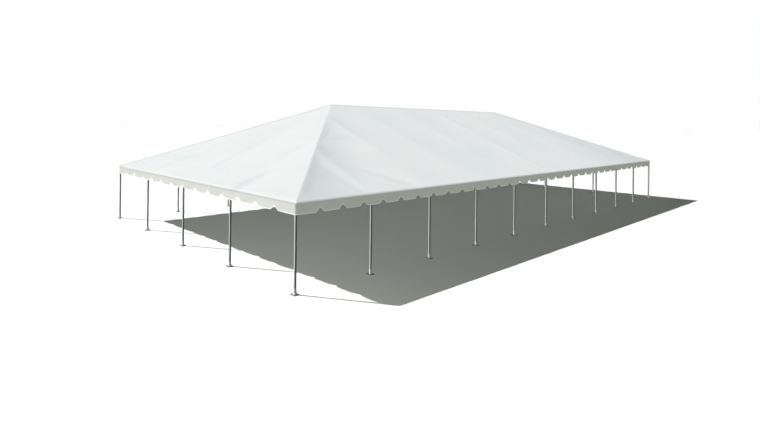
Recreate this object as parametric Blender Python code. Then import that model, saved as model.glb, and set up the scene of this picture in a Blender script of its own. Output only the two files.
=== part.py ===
"""Frame marquee, 12.2 m wide and 30.5 m long, with a hipped vinyl roof and a scalloped valance.

The marquee stands on 28 legs. The legs carry an eave rail of four tubes, and the rail carries
the rafters, hips and ridge beam that hold the roof up. Four canopy panels and four valance
strips make the cover. X runs along the tent, Y across it and Z up, with the floor at Z = 0 and
the origin under the middle of the tent. The front is the long side at -Y.
"""
import math

import bmesh
import bpy
from mathutils import Matrix, Vector

# Driving dimensions, in metres
BAY = 3.048
SIDE_BAYS = 10
END_BAYS = 4
HIP_BAYS = 2.5
EAVE_HEIGHT = 2.46
RIDGE_HEIGHT = 5.43
VALANCE_BOTTOM = 2.10
GAP = 0.0003

# Legs and feet
LEG_RADIUS = 0.038
FOOT_PLATE = 0.20
FOOT_PLATE_THICKNESS = 0.010
FOOT_SOCKET_RADIUS = 0.046
FOOT_SOCKET_TOP = 0.16
LEG_SIDES = 10

# Roof frame
TUBE_RADIUS = 0.032
PURLIN_RADIUS = 0.026
SLEEVE_RADIUS = 0.040
CROSS_SLEEVE_RADIUS = 0.037
LEG_SOCKET_RADIUS = 0.039
LEG_SOCKET_DROP = 0.20
SLEEVE_REACH = 0.16
STUB_LENGTH = 0.22
STUB_RADIUS = 0.0385
PURLIN_STUB_RADIUS = 0.031
BAR_SIDES = 8
RAFTER_LINES = range(3, 8)

# Truss ties under the ridge
POST_DROP = 1.20
POST_RADIUS = 0.025
POST_STUB_DROP = 0.16
TIE_RADIUS = 0.008
TIE_SIDES = 6
TIE_BOSS_RADIUS = 0.034
TIE_BOSS_HEIGHT = 0.06
TIE_FORK_LENGTH = 0.07
TIE_FORK_HALF = 0.014
LUG_REACH = 0.11
LUG_THICKNESS = 0.014
LUG_HEIGHT = 0.05
LUG_DROP = 0.030

# Cover
CANOPY_THICKNESS = 0.010
VALANCE_THICKNESS = 0.010
SIDE_SCALLOPS = 34
END_SCALLOPS = 14
NOTCH_HALF_WIDTH = 0.16
NOTCH_HEIGHT = 0.105
NOTCH_ROUNDNESS = 1.4
NOTCH_STEPS = 3
LOBE_RISE = 0.006

# Sizes that follow from the driving ones
HALF_LENGTH = SIDE_BAYS * BAY / 2
HALF_WIDTH = END_BAYS * BAY / 2
HIP_RUN = HIP_BAYS * BAY
CROWN_X = HALF_LENGTH - HIP_RUN
OVERHANG = SLEEVE_RADIUS + GAP + VALANCE_THICKNESS
ROOF_RISE = RIDGE_HEIGHT - EAVE_HEIGHT
SIDE_SLOPE = ROOF_RISE / (HALF_WIDTH + OVERHANG)
END_SLOPE = ROOF_RISE / (HIP_RUN + OVERHANG)
SIDE_COSINE = math.cos(math.atan(SIDE_SLOPE))
END_COSINE = math.cos(math.atan(END_SLOPE))
FRAME_DROP = (CANOPY_THICKNESS + SLEEVE_RADIUS + GAP) / END_COSINE
RAIL_HEIGHT = EAVE_HEIGHT + END_SLOPE * OVERHANG - FRAME_DROP
FRAME_RISE = SIDE_SLOPE * HALF_WIDTH
RIDGE_AXIS_HEIGHT = RAIL_HEIGHT + FRAME_RISE
LEG_TOP = RAIL_HEIGHT - LEG_SOCKET_DROP - GAP
VALANCE_TOP = EAVE_HEIGHT - CANOPY_THICKNESS / SIDE_COSINE - GAP
POST_FOOT_HEIGHT = RIDGE_AXIS_HEIGHT - POST_DROP


def clear_scene():
    """Start from an empty file."""
    for old in list(bpy.data.objects):
        bpy.data.objects.remove(old, do_unlink=True)


def make_collection(name):
    """A collection linked to the scene."""
    collection = bpy.data.collections.new(name)
    bpy.context.scene.collection.children.link(collection)
    return collection


def make_material(name, color, roughness, metallic):
    """A Principled material of one colour."""
    material = bpy.data.materials.new(name)
    material.use_nodes = True
    shader = material.node_tree.nodes["Principled BSDF"]
    shader.inputs["Base Color"].default_value = (*color, 1.0)
    shader.inputs["Roughness"].default_value = roughness
    shader.inputs["Metallic"].default_value = metallic
    return material


clear_scene()
TENT = make_collection("marquee_tent")
CUTTERS = make_collection("marquee_tent_cutters")
LEG_METAL = make_material("leg_metal", (0.62, 0.63, 0.63), 0.32, 0.9)
FRAME_METAL = make_material("frame_metal", (0.58, 0.59, 0.60), 0.36, 0.9)
TIE_METAL = make_material("tie_metal", (0.45, 0.46, 0.47), 0.40, 0.9)
CANOPY_VINYL = make_material("canopy_vinyl", (0.90, 0.92, 0.92), 0.45, 0.0)
VALANCE_VINYL = make_material("valance_vinyl", (0.86, 0.88, 0.87), 0.50, 0.0)


def add_object(name, mesh, material, location=(0.0, 0.0, 0.0)):
    """A named object in the tent's collection."""
    piece = bpy.data.objects.new(name, mesh)
    piece.location = location
    if not mesh.materials:
        mesh.materials.append(material)
    TENT.objects.link(piece)
    return piece


def mesh_from(name, shape):
    """A mesh data block from a bmesh, which is freed."""
    mesh = bpy.data.meshes.new(name)
    shape.to_mesh(mesh)
    shape.free()
    return mesh


def bar(start, end, radius, sides=BAR_SIDES):
    """A loose closed bar from start to end, as a mesh."""
    start, end = Vector(start), Vector(end)
    run = end - start
    turn = run.to_track_quat("Z", "Y").to_matrix().to_4x4()
    shape = bmesh.new()
    bmesh.ops.create_cone(
        shape,
        cap_ends=True,
        segments=sides,
        radius1=radius,
        radius2=radius,
        depth=run.length,
        matrix=Matrix.Translation((start + end) / 2) @ turn,
    )
    return mesh_from("bar", shape)


def block(low, high):
    """A loose closed box between two corners, as a mesh."""
    low, high = Vector(low), Vector(high)
    size = high - low
    shape = bmesh.new()
    middle = Matrix.Translation((low + high) / 2)
    bmesh.ops.create_cube(shape, size=1.0, matrix=middle @ Matrix.Diagonal((*size, 1.0)))
    return mesh_from("block", shape)


def fuse(name, meshes, material):
    """One solid, the union of overlapping meshes."""
    body = bpy.data.objects.new(name + "_core", meshes[0])
    CUTTERS.objects.link(body)
    joined = make_collection(name + "_joined")
    members = []
    for number, mesh in enumerate(meshes[1:]):
        member = bpy.data.objects.new(f"{name}_member_{number}", mesh)
        joined.objects.link(member)
        members.append(member)
    union = body.modifiers.new("union", "BOOLEAN")
    union.operation = "UNION"
    union.operand_type = "COLLECTION"
    union.collection = joined
    union.solver = "EXACT"
    ready = body.evaluated_get(bpy.context.evaluated_depsgraph_get())
    solid = bpy.data.meshes.new_from_object(ready)
    solid.name = name
    for loose in [body, *members]:
        bpy.data.objects.remove(loose, do_unlink=True)
    bpy.data.collections.remove(joined)
    return add_object(name, solid, material)


def frame_point(inward_x, inward_y):
    """A point on the axes of the roof frame, measured inward from the corner leg."""
    share = min(inward_x / HIP_RUN, inward_y / HALF_WIDTH)
    return Vector((inward_x, inward_y, RAIL_HEIGHT + FRAME_RISE * share))


def place(point, end, side):
    """The same point at any of the four corners: end is -1 or 1 along X, side along Y."""
    inward_x, inward_y, height = point
    return Vector((end * (HALF_LENGTH - inward_x), side * (HALF_WIDTH - inward_y), height))


def between(start, end, from_start, from_end):
    """The two ends of a run, cut back by a distance at each end."""
    start, end = Vector(start), Vector(end)
    along = (end - start).normalized()
    return start + along * from_start, end - along * from_end


# Legs

def leg_mesh():
    """A leg tube in a foot socket on a square base plate."""
    half = FOOT_PLATE / 2
    plate = block((-half, -half, 0.0), (half, half, FOOT_PLATE_THICKNESS))
    middle = FOOT_PLATE_THICKNESS / 2
    socket = bar((0, 0, middle), (0, 0, FOOT_SOCKET_TOP), FOOT_SOCKET_RADIUS, LEG_SIDES)
    tube = bar((0, 0, middle), (0, 0, LEG_TOP), LEG_RADIUS, LEG_SIDES)
    whole = fuse("leg", [tube, socket, plate], LEG_METAL)
    mesh = whole.data
    bpy.data.objects.remove(whole)
    return mesh


def add_legs():
    """Eleven legs on each long side and three more on each end."""
    mesh = leg_mesh()
    for side, side_name in ((-1, "front"), (1, "back")):
        for number in range(SIDE_BAYS + 1):
            spot = (-HALF_LENGTH + number * BAY, side * HALF_WIDTH, 0.0)
            add_object(f"leg_{side_name}_{number}", mesh, LEG_METAL, spot)
    for end, end_name in ((-1, "left"), (1, "right")):
        for number in range(1, END_BAYS):
            spot = (end * HALF_LENGTH, -HALF_WIDTH + number * BAY, 0.0)
            add_object(f"leg_{end_name}_{number}", mesh, LEG_METAL, spot)


# Eave rails

def leg_socket(spot):
    """The socket of a rail fitting, which drops onto a leg."""
    low = spot - Vector((0, 0, LEG_SOCKET_DROP))
    return bar(spot, low, LEG_SOCKET_RADIUS)


def roof_stub(spot, target, radius=STUB_RADIUS):
    """A stub on a fitting, pointing at the far end of the tube that it takes."""
    stub_end = between(spot, target, STUB_LENGTH, 0.0)[0]
    return bar(spot, stub_end, radius)


def side_rail(side):
    """A long eave rail with a fitting over each leg and a corner fitting at each end."""
    corner_left = Vector((-HALF_LENGTH, side * HALF_WIDTH, RAIL_HEIGHT))
    corner_right = Vector((HALF_LENGTH, side * HALF_WIDTH, RAIL_HEIGHT))
    pieces = [bar(corner_left, corner_right, TUBE_RADIUS)]
    for number in range(SIDE_BAYS + 1):
        end = -1 if number <= SIDE_BAYS / 2 else 1
        inward = min(number, SIDE_BAYS - number) * BAY
        spot = place(frame_point(inward, 0.0), end, side)
        pieces.append(leg_socket(spot))
        reach = Vector((SLEEVE_REACH, 0, 0))
        sleeve_low = spot - reach if inward else spot
        sleeve_high = spot + reach if inward else spot - end * reach
        pieces.append(bar(sleeve_low, sleeve_high, SLEEVE_RADIUS))
        if inward:
            reach_in = min(inward / HIP_RUN, 1.0) * HALF_WIDTH
            pieces.append(roof_stub(spot, place(frame_point(inward, reach_in), end, side)))
        else:
            across = spot - Vector((0, side * STUB_LENGTH, 0))
            pieces.append(bar(spot, across, STUB_RADIUS))
            pieces.append(roof_stub(spot, place(frame_point(HIP_RUN, HALF_WIDTH), end, side)))
        if number in RAFTER_LINES:
            pieces.append(tie_lug(spot, side))
    return pieces


def tie_lug(spot, side):
    """The flat lug that the end of a tie is fixed to."""
    half = Vector((LUG_THICKNESS / 2, 0, LUG_HEIGHT / 2))
    outer = spot - Vector((0, 0, LUG_DROP))
    inner = outer - Vector((0, side * LUG_REACH, 0))
    low = Vector((spot.x, min(outer.y, inner.y), outer.z)) - half
    high = Vector((spot.x, max(outer.y, inner.y), outer.z)) + half
    return block(low, high)


def end_rail(end):
    """An end eave rail, which fits between two corner fittings."""
    reach = HALF_WIDTH - STUB_LENGTH - GAP
    x = end * HALF_LENGTH
    pieces = [bar((x, -reach, RAIL_HEIGHT), (x, reach, RAIL_HEIGHT), TUBE_RADIUS)]
    for number in range(1, END_BAYS):
        y = -HALF_WIDTH + number * BAY
        spot = Vector((x, y, RAIL_HEIGHT))
        side = -1 if y < 0 else 1
        inward_y = HALF_WIDTH - abs(y)
        inward_x = inward_y / HALF_WIDTH * HIP_RUN
        sleeve = Vector((0, SLEEVE_REACH, 0))
        pieces.append(leg_socket(spot))
        pieces.append(bar(spot - sleeve, spot + sleeve, SLEEVE_RADIUS))
        pieces.append(roof_stub(spot, place(frame_point(inward_x, inward_y), end, side)))
    return pieces


def add_rails():
    """The four eave rails."""
    for side, name in ((-1, "front"), (1, "back")):
        fuse(f"eave_rail_{name}", side_rail(side), FRAME_METAL)
    for end, name in ((-1, "left"), (1, "right")):
        fuse(f"eave_rail_{name}", end_rail(end), FRAME_METAL)


# Ridge and rafters

def add_ridge():
    """The ridge beam with its two crown fittings and the rafter fittings along it."""
    left = Vector((-CROWN_X, 0, RIDGE_AXIS_HEIGHT))
    right = Vector((CROWN_X, 0, RIDGE_AXIS_HEIGHT))
    pieces = [bar(left, right, TUBE_RADIUS)]
    for end, crown in ((-1, left), (1, right)):
        sleeve_end = crown - Vector((end * STUB_LENGTH, 0, 0))
        pieces.append(bar(crown, sleeve_end, SLEEVE_RADIUS))
        for side in (-1, 1):
            pieces.append(roof_stub(crown, place(frame_point(0.0, 0.0), end, side)))
        eave_middle = place(frame_point(0.0, HALF_WIDTH), end, 1)
        pieces.append(roof_stub(crown, eave_middle, CROSS_SLEEVE_RADIUS))
    for number in RAFTER_LINES:
        spot = Vector((-HALF_LENGTH + number * BAY, 0, RIDGE_AXIS_HEIGHT))
        reach = Vector((SLEEVE_REACH, 0, 0))
        pieces.append(bar(spot - reach, spot + reach, SLEEVE_RADIUS))
        for side in (-1, 1):
            eave = Vector((spot.x, side * HALF_WIDTH, RAIL_HEIGHT))
            pieces.append(roof_stub(spot, eave))
        pieces.append(bar(spot, spot - Vector((0, 0, POST_STUB_DROP)), CROSS_SLEEVE_RADIUS))
    fuse("ridge_beam", pieces, FRAME_METAL)


def cross_sleeve(spot, target):
    """A sleeve on a rafter where a purlin crosses it."""
    along = (Vector(target) - Vector(spot)).normalized() * SLEEVE_REACH
    return bar(spot - along, spot + along, CROSS_SLEEVE_RADIUS)


def add_slope_frame(side, name):
    """Rafters and upper jack rafters of one long slope, on a purlin at half height."""
    half_way = HALF_WIDTH / 2
    purlin_inset = HIP_RUN / 2
    left_end = place(frame_point(purlin_inset, half_way), -1, side)
    right_end = place(frame_point(purlin_inset, half_way), 1, side)
    start, stop = between(left_end, right_end, STUB_LENGTH + GAP, STUB_LENGTH + GAP)
    pieces = [bar(start, stop, PURLIN_RADIUS)]
    for number in range(2, SIDE_BAYS - 1):
        end = -1 if number <= SIDE_BAYS / 2 else 1
        inward = min(number, SIDE_BAYS - number) * BAY
        top_inset = min(inward / HIP_RUN, 1.0) * HALF_WIDTH
        foot = place(frame_point(inward, 0.0), end, side)
        head = place((inward, top_inset, RAIL_HEIGHT + FRAME_RISE * top_inset / HALF_WIDTH), end, side)
        low, high = between(foot, head, STUB_LENGTH + GAP, STUB_LENGTH + GAP)
        middle = place((inward, half_way, RAIL_HEIGHT + FRAME_RISE / 2), end, side)
        pieces.append(bar(low, high, TUBE_RADIUS))
        pieces.append(cross_sleeve(middle, head))
    fuse(f"slope_frame_{name}", pieces, FRAME_METAL)


def add_end_frame(end, name):
    """The middle rafter of a hipped end and the purlin that crosses it at half height."""
    foot = place(frame_point(0.0, HALF_WIDTH), end, 1)
    crown = place(frame_point(HIP_RUN, HALF_WIDTH), end, 1)
    low, high = between(foot, crown, STUB_LENGTH + GAP, STUB_LENGTH + GAP)
    middle = (foot + crown) / 2
    front = place(frame_point(HIP_RUN / 2, HALF_WIDTH / 2), end, -1)
    back = place(frame_point(HIP_RUN / 2, HALF_WIDTH / 2), end, 1)
    start, stop = between(front, back, STUB_LENGTH + GAP, STUB_LENGTH + GAP)
    pieces = [
        bar(low, high, TUBE_RADIUS),
        bar(start, stop, PURLIN_RADIUS),
        cross_sleeve(middle, crown),
    ]
    fuse(f"end_frame_{name}", pieces, FRAME_METAL)


def add_hip_rafter(end, side, name):
    """A hip rafter with its two short jack rafters and the stubs that take the purlins."""
    corner = place(frame_point(0.0, 0.0), end, side)
    crown = place(frame_point(HIP_RUN, HALF_WIDTH), end, side)
    low, high = between(corner, crown, STUB_LENGTH + GAP, STUB_LENGTH + GAP)
    pieces = [bar(low, high, TUBE_RADIUS)]
    side_foot = place(frame_point(BAY, 0.0), end, side)
    side_head = place(frame_point(BAY, BAY / HIP_RUN * HALF_WIDTH), end, side)
    middle = place(frame_point(HIP_RUN / 2, HALF_WIDTH / 2), end, side)
    end_foot = place(frame_point(0.0, HALF_WIDTH / 2), end, side)
    for foot, head in ((side_foot, side_head), (end_foot, middle)):
        jack_start = between(foot, head, STUB_LENGTH + GAP, 0.0)[0]
        pieces.append(bar(jack_start, head, PURLIN_RADIUS))
    along = (crown - corner).normalized() * SLEEVE_REACH
    for fitting in (side_head, middle):
        pieces.append(bar(fitting - along, fitting + along, CROSS_SLEEVE_RADIUS))
    pieces.append(roof_stub(middle, middle - Vector((end, 0, 0)), PURLIN_STUB_RADIUS))
    pieces.append(roof_stub(middle, middle - Vector((0, side, 0)), PURLIN_STUB_RADIUS))
    jack_head = place(frame_point(2 * BAY, 2 * BAY / HIP_RUN * HALF_WIDTH), end, side)
    jack_foot = place(frame_point(2 * BAY, 0.0), end, side)
    pieces.append(bar(jack_head - along, jack_head + along, CROSS_SLEEVE_RADIUS))
    pieces.append(roof_stub(jack_head, jack_foot, TUBE_RADIUS + GAP))
    fuse(f"hip_rafter_{name}", pieces, FRAME_METAL)


def add_truss_tie(number, name):
    """A post under the ridge, held by two straight ties that run down to the eave fittings."""
    x = -HALF_LENGTH + number * BAY
    post_foot = Vector((x, 0, POST_FOOT_HEIGHT))
    post_top = Vector((x, 0, RIDGE_AXIS_HEIGHT - POST_STUB_DROP - GAP))
    boss_top = post_foot + Vector((0, 0, TIE_BOSS_HEIGHT))
    boss_low = post_foot - Vector((0, 0, TIE_BOSS_HEIGHT))
    pieces = [bar(post_foot, post_top, POST_RADIUS)]
    pieces.append(bar(boss_low, boss_top, TIE_BOSS_RADIUS))
    for side in (-1, 1):
        near = HALF_WIDTH - LUG_REACH - GAP - TIE_FORK_LENGTH / 2
        fork = Vector((x, side * near, RAIL_HEIGHT - LUG_DROP))
        half = Vector((TIE_FORK_HALF, TIE_FORK_LENGTH / 2, TIE_FORK_HALF))
        pieces.append(block(fork - half, fork + half))
        pieces.append(bar(fork, post_foot, TIE_RADIUS, TIE_SIDES))
    fuse(name, pieces, TIE_METAL)


# Cover

def canopy_panel(name, facing, edge, slope, limits):
    """One flat roof panel: the plan, cut to its outline, raised to the slope and thickened.

    It faces a plan direction and starts at its eave edge. Each limit is a point and an outward
    direction in plan, and the panel lies behind it.
    """
    shape = bmesh.new()
    far = HALF_LENGTH + HALF_WIDTH
    bmesh.ops.create_grid(shape, x_segments=1, y_segments=1, size=far)
    for point, outward in limits:
        bmesh.ops.bisect_plane(
            shape,
            geom=shape.verts[:] + shape.edges[:] + shape.faces[:],
            plane_co=(*point, 0.0),
            plane_no=(*outward, 0.0),
            clear_outer=True,
        )
    for vertex in shape.verts:
        inward = edge - Vector(facing).dot(vertex.co.xy)
        vertex.co.z = EAVE_HEIGHT + slope * inward
    raised = bmesh.ops.extrude_face_region(shape, geom=shape.faces[:])
    lowered = [item for item in raised["geom"] if isinstance(item, bmesh.types.BMVert)]
    drop = CANOPY_THICKNESS / math.cos(math.atan(slope))
    bmesh.ops.translate(shape, vec=(0, 0, -drop), verts=lowered)
    bmesh.ops.recalc_face_normals(shape, faces=shape.faces[:])
    add_object(name, mesh_from(name, shape), CANOPY_VINYL)


def hip_limit(end, side, toward_end):
    """The hip line from a corner to the crown, as a limit of the panel on one side of it."""
    edge_y = HALF_WIDTH + OVERHANG
    corner = Vector((end * (HALF_LENGTH + OVERHANG), side * edge_y))
    outward = Vector((end * edge_y, -side * (HIP_RUN + OVERHANG))).normalized()
    if toward_end:
        outward = -outward
    return corner - outward * GAP / 2, outward


def add_canopy():
    """Four roof panels that meet along the ridge and the hips."""
    edge_x = HALF_LENGTH + OVERHANG
    edge_y = HALF_WIDTH + OVERHANG
    for side, name in ((-1, "front"), (1, "back")):
        limits = [((0.0, side * edge_y), (0, side)), ((0.0, side * GAP / 2), (0, -side))]
        limits += [hip_limit(end, side, False) for end in (-1, 1)]
        canopy_panel(f"canopy_{name}", (0, side), edge_y, SIDE_SLOPE, limits)
    for end, name in ((-1, "left"), (1, "right")):
        limits = [((end * edge_x, 0.0), (end, 0))]
        limits += [hip_limit(end, side, True) for side in (-1, 1)]
        canopy_panel(f"canopy_{name}_end", (end, 0), edge_x, END_SLOPE, limits)


def scalloped_outline(length, scallops):
    """The outline of a valance strip: a straight top and a lower edge of lobes and round notches."""
    pitch = length / scallops
    low = VALANCE_BOTTOM
    points = [(-length / 2, VALANCE_TOP), (-length / 2, low)]
    for number in range(scallops):
        left = -length / 2 + number * pitch
        points.append((left + pitch / 2, low))
        if number == scallops - 1:
            break
        notch = left + pitch
        for step in range(-NOTCH_STEPS, NOTCH_STEPS + 1):
            share = step / NOTCH_STEPS
            rise = NOTCH_HEIGHT * math.cos(math.pi / 2 * share) ** NOTCH_ROUNDNESS
            points.append((notch + share * NOTCH_HALF_WIDTH, low + LOBE_RISE + rise))
    points += [(length / 2, low), (length / 2, VALANCE_TOP)]
    return points


def valance(name, length, scallops, location, turn):
    """A flat strip of cover that hangs from the eave, upright and facing out."""
    curve = bpy.data.curves.new(name, "CURVE")
    curve.dimensions = "2D"
    curve.fill_mode = "BOTH"
    curve.extrude = VALANCE_THICKNESS / 2
    points = scalloped_outline(length, scallops)
    spline = curve.splines.new("POLY")
    spline.points.add(len(points) - 1)
    for point, (across, up) in zip(spline.points, points):
        point.co = (across, up, 0.0, 1.0)
    spline.use_cyclic_u = True
    strip = add_object(name, curve, VALANCE_VINYL, location)
    strip.rotation_euler = (math.pi / 2, 0.0, turn)


def add_valances():
    """The front and back strips run full length, and the end strips fit between them."""
    centre = OVERHANG - VALANCE_THICKNESS / 2
    side_length = 2 * (HALF_LENGTH + OVERHANG)
    end_length = 2 * (HALF_WIDTH + OVERHANG - VALANCE_THICKNESS - GAP)
    front = (0.0, -HALF_WIDTH - centre, 0.0)
    back = (0.0, HALF_WIDTH + centre, 0.0)
    left = (-HALF_LENGTH - centre, 0.0, 0.0)
    right = (HALF_LENGTH + centre, 0.0, 0.0)
    valance("valance_front", side_length, SIDE_SCALLOPS, front, 0.0)
    valance("valance_back", side_length, SIDE_SCALLOPS, back, math.pi)
    valance("valance_left", end_length, END_SCALLOPS, left, -math.pi / 2)
    valance("valance_right", end_length, END_SCALLOPS, right, math.pi / 2)


def build_tent():
    """Every piece of the marquee."""
    add_legs()
    add_rails()
    add_ridge()
    add_slope_frame(-1, "front")
    add_slope_frame(1, "back")
    for end, end_name in ((-1, "left"), (1, "right")):
        add_end_frame(end, end_name)
        for side, side_name in ((-1, "front"), (1, "back")):
            add_hip_rafter(end, side, f"{side_name}_{end_name}")
    for place_number, number in enumerate(RAFTER_LINES, start=1):
        add_truss_tie(number, f"truss_tie_{place_number}")
    add_canopy()
    add_valances()


build_tent()
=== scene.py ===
from functools import partialmethod
from math import atan, cos, hypot, pi, radians, sin

import bmesh
import bpy
import numpy as np
from mathutils import Matrix, Vector


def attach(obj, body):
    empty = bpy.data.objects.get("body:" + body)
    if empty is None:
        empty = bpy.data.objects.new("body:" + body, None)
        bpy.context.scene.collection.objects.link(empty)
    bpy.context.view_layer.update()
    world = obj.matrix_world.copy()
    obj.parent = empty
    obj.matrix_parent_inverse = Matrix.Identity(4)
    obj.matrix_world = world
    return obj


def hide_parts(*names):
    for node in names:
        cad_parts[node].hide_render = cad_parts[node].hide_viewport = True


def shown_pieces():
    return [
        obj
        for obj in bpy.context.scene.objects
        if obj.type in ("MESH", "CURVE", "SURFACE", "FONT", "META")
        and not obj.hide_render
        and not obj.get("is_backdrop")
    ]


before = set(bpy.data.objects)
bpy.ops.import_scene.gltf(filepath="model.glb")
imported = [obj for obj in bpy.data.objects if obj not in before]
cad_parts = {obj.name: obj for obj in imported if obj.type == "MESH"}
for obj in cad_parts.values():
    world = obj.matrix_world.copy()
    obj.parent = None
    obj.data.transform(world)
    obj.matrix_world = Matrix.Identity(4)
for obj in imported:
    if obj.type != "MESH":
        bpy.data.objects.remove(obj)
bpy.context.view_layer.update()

# The tent's own dimensions, in metres, as in the CAD source
BAY = 3.048
SIDE_BAYS = 10
END_BAYS = 4
HIP_BAYS = 2.5
EAVE_HEIGHT = 2.46
RIDGE_HEIGHT = 5.43
VALANCE_BOTTOM = 2.1
GAP = 0.0003
LEG_RADIUS = 0.038
FOOT_PLATE = 0.2
FOOT_PLATE_THICKNESS = 0.01
FOOT_SOCKET_RADIUS = 0.046
FOOT_SOCKET_TOP = 0.16
TUBE_RADIUS = 0.032
PURLIN_RADIUS = 0.026
SLEEVE_RADIUS = 0.04
CROSS_SLEEVE_RADIUS = 0.037
LEG_SOCKET_RADIUS = 0.039
LEG_SOCKET_DROP = 0.2
SLEEVE_REACH = 0.16
STUB_LENGTH = 0.22
STUB_RADIUS = 0.0385
PURLIN_STUB_RADIUS = 0.031
RAFTER_LINES = range(3, 8)
POST_DROP = 1.2
POST_RADIUS = 0.025
POST_STUB_DROP = 0.16
TIE_RADIUS = 0.008
TIE_BOSS_RADIUS = 0.034
TIE_BOSS_HEIGHT = 0.06
TIE_FORK_LENGTH = 0.07
LUG_REACH = 0.11
LUG_DROP = 0.03
CANOPY_THICKNESS = 0.01
VALANCE_THICKNESS = 0.01
SIDE_SCALLOPS = 34
END_SCALLOPS = 14

HALF_LENGTH = SIDE_BAYS * BAY / 2
HALF_WIDTH = END_BAYS * BAY / 2
HIP_RUN = HIP_BAYS * BAY
OVERHANG = SLEEVE_RADIUS + GAP + VALANCE_THICKNESS
EDGE_X = HALF_LENGTH + OVERHANG
EDGE_Y = HALF_WIDTH + OVERHANG
ROOF_RISE = RIDGE_HEIGHT - EAVE_HEIGHT
SIDE_SLOPE = ROOF_RISE / EDGE_Y
END_SLOPE = ROOF_RISE / (HIP_RUN + OVERHANG)
FRAME_DROP = (CANOPY_THICKNESS + SLEEVE_RADIUS + GAP) / cos(atan(END_SLOPE))
RAIL_HEIGHT = EAVE_HEIGHT + END_SLOPE * OVERHANG - FRAME_DROP
FRAME_RISE = SIDE_SLOPE * HALF_WIDTH
RIDGE_AXIS_HEIGHT = RAIL_HEIGHT + FRAME_RISE
LEG_TOP = RAIL_HEIGHT - LEG_SOCKET_DROP - GAP
POST_FOOT_HEIGHT = RIDGE_AXIS_HEIGHT - POST_DROP

# Cloth, in metres
ROOF_CLOTH = 0.003
VALANCE_CLOTH = 0.002
FOLD_RADIUS = OVERHANG
FOLD_STEPS = 6
CORNER_STEPS = 8
HEM_BOTTOM = 2.396
HEM_ROWS = 3
LAP = 0.08
LAP_DROP = 0.0064
LAP_ZONE = 0.14
LAP_PRESS = 0.0026
HIP_SOFTNESS = 0.012
RIDGE_SOFTNESS = 0.018
BAY_SAG = 0.022
HIP_SAG = 0.15
HIP_SAG_REACH = 0.3
HIP_SAG_WIDTH = 1.1
HIP_SAG_TOP = 0.45
HIP_SAG_FADE = 0.42
EAVE_HOLD = 0.07
JACK_HOLD = 0.31
JACK_HOLD_WIDTH = 0.05
END_SAG = 0.22
SAG_LIMIT = 0.055

# Tension folds that stand up a little from the roof cloth: plan points of both ends, widths before
# and behind, height, and how much painted shade lies along them
FOLDS = [
    ((-9.2, -0.26), (-14.6, -0.44), 0.13, 0.3, 0.012, 0.23),
    ((-13.8, -3.43), (-15.7, -3.31), 0.12, 0.28, 0.026, 0.66),
    ((-12.9, 1.76), (-15.55, 2.88), 0.13, 0.28, 0.014, 0.18),
]
FOLD_SHADE_WIDTH = 0.27

BAR, FITTING, BOLT, SOCKET = range(4)  # material numbers of the metal pieces
UP = Vector((0, 0, 1))
X_AXIS = Vector((1, 0, 0))
Y_AXIS = Vector((0, 1, 0))
SIDES = ((-1, "front"), (1, "back"))
ENDS = ((-1, "left"), (1, "right"))

scene = bpy.context.scene


def add_object(name, data):
    made = bpy.data.objects.new(name, data)
    scene.collection.objects.link(made)
    return made


def beside(x, y, start, stop):
    """The share of a line that a point has passed, and its distance to the left."""
    run = hypot(stop[0] - start[0], stop[1] - start[1])
    ahead_x, ahead_y = (stop[0] - start[0]) / run, (stop[1] - start[1]) / run
    passed = ((x - start[0]) * ahead_x + (y - start[1]) * ahead_y) / run
    return passed, (y - start[1]) * ahead_x - (x - start[0]) * ahead_y


# Materials

def put(socket, value):
    """Joins a value to a socket, or sets a plain one on it."""
    if isinstance(value, Value):
        socket.id_data.links.new(value.socket, socket)
    else:
        socket.default_value = (*value, 1) if socket.type == "RGBA" else value


def add_node(tree, kind, inputs=(), output=0, **settings):
    """Adds a shader node and returns one of its outputs."""
    made = tree.nodes.new("ShaderNode" + kind)
    for key, value in settings.items():
        setattr(made, key, value)
    for key, value in dict(inputs).items():
        put(made.inputs[key], value)
    return Value(made.outputs[output])


class Value:
    """The output of a node. Arithmetic on it adds math nodes."""

    def __init__(self, socket):
        self.socket = socket
        self.tree = socket.id_data

    def math(self, operation, other=0):
        return add_node(self.tree, "Math", {0: self, 1: other}, operation=operation)

    __add__ = partialmethod(math, "ADD")
    __sub__ = partialmethod(math, "SUBTRACT")
    __mul__ = partialmethod(math, "MULTIPLY")
    __truediv__ = partialmethod(math, "DIVIDE")
    __pow__ = partialmethod(math, "POWER")
    __abs__ = partialmethod(math, "ABSOLUTE")

    def __rsub__(self, other):
        return add_node(self.tree, "Math", {0: other, 1: self}, operation="SUBTRACT")

    def spread(self, low, high, from_low=0, from_high=1, **settings):
        """The value mapped from one range to another, clamped."""
        ends = {"From Min": from_low, "From Max": from_high, "To Min": low, "To Max": high}
        return add_node(self.tree, "MapRange", {"Value": self, **ends}, **settings)


def bell(distance, width):
    """1 on a line, fading to 0 on both sides of it."""
    return ((distance / width) ** 2 * -1).math("EXPONENT")


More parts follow.
